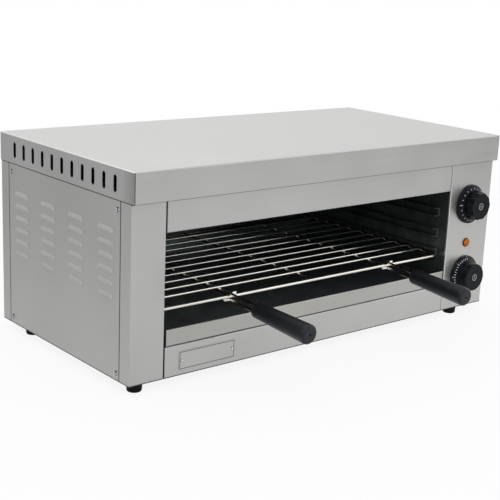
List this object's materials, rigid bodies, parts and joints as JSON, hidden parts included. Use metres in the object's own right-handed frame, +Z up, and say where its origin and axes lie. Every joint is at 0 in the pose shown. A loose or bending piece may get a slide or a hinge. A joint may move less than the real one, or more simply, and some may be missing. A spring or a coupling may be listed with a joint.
{
  "type": "cheese melter",
  "caption": "Open-front electric salamander grill: folded steel cabinet, dark chamber, sliding wire rack with two handles, sliding crumb tray and two dials.",
  "frame": {"origin": "middle of the part's whole width and depth, on the surface that the feet stand on", "axes": "+X to the right as seen from the front, +Y to the back, +Z up"},
  "size_m": [0.805, 0.5738, 0.3363],
  "materials": {
    "cover_steel": "brushed along its length",
    "front_steel": "brushed along its length",
    "side_steel": "brushed, soft sheen",
    "chamber_steel": "heat-darkened satin",
    "tray_steel": "heat-darkened satin",
    "wire_chrome": "bright plated wire",
    "element_steel": "oxidised",
    "bracket_steel": "plain",
    "ceramic": "glazed ceramic",
    "dial_black": "moulded, satin gloss",
    "dial_cap": "satin insert",
    "grip_bakelite": "satin moulded phenolic",
    "rubber_black": "moulded rubber",
    "unit_plastic": "moulded case",
    "lamp_amber": "amber lens",
    "bezel_dark": "dark ring",
    "lamp_white": "nylon body",
    "zinc": "zinc plated",
    "copper": "bare copper",
    "lead_red": "silicone insulation",
    "plate_steel": "fine satin, bare"
  },
  "bodies": {
    "cabinet": {"back_panel": "side_steel", "back_screws": "zinc", "base_plate": "chamber_steel", "bottom_front_panel": "front_steel", "cable_gland": "unit_plastic", "chamber_back_wall": "chamber_steel", "chamber_ceiling": "chamber_steel", "chamber_floor": "chamber_steel", "chamber_left_wall": "chamber_steel", "chamber_right_wall": "chamber_steel", "control_panel": "front_steel", "control_screws": "zinc", "cover": "cover_steel", "element_bushes": "bracket_steel", "element_hangers": "bracket_steel", "element_terminals": "ceramic", "foot_screws": "zinc", "front_element": "element_steel", "front_left_foot": "rubber_black", "front_right_foot": "rubber_black", "gland_locknut": "unit_plastic", "internal_leads": "lead_red", "lamp_bezel": "bezel_dark", "lamp_body": "lamp_white", "lamp_lens": "lamp_amber", "left_column": "front_steel", "left_rear_post": "side_steel", "left_runners": "chamber_steel", "left_side_panel": "side_steel", "middle_element": "element_steel", "nameplate": "plate_steel", "nameplate_rivets": "zinc", "panel_screws": "zinc", "rear_element": "element_steel", "rear_left_foot": "rubber_black", "rear_right_foot": "rubber_black", "right_rear_post": "side_steel", "right_runners": "chamber_steel", "right_side_panel": "side_steel", "sensor_bulb": "copper", "sensor_clips": "bracket_steel", "terminal_block": "ceramic", "thermostat_body": "unit_plastic", "timer_body": "unit_plastic", "top_front_panel": "front_steel"},
    "rack": {"wire_rack": "wire_chrome", "left_handle_rods": "wire_chrome", "right_handle_rods": "wire_chrome", "left_grip": "grip_bakelite", "right_grip": "grip_bakelite"},
    "tray": {"crumb_tray": "tray_steel", "tray_front": "front_steel"},
    "thermostat_dial": {"thermostat_knob": "dial_black", "thermostat_cap": "dial_cap", "thermostat_shaft": "zinc"},
    "timer_dial": {"timer_knob": "dial_black", "timer_cap": "dial_cap", "timer_shaft": "zinc"}
  },
  "joints": [
    {"name": "rack_slide", "type": "slide", "parent": "cabinet", "child": "rack", "axis": [0, -1, 0], "range_m": [0, 0.25]},
    {"name": "tray_slide", "type": "slide", "parent": "cabinet", "child": "tray", "axis": [0, -1, 0], "range_m": [0, 0.3]},
    {"name": "thermostat_turn", "type": "hinge", "parent": "cabinet", "child": "thermostat_dial", "pos_m": [0.342, -0.1193, 0.211], "axis": [0, 1, 0], "range_deg": [0, 270]},
    {"name": "timer_turn", "type": "hinge", "parent": "cabinet", "child": "timer_dial", "pos_m": [0.342, -0.1193, 0.0764], "axis": [0, 1, 0], "range_deg": [0, 276]}
  ]
}
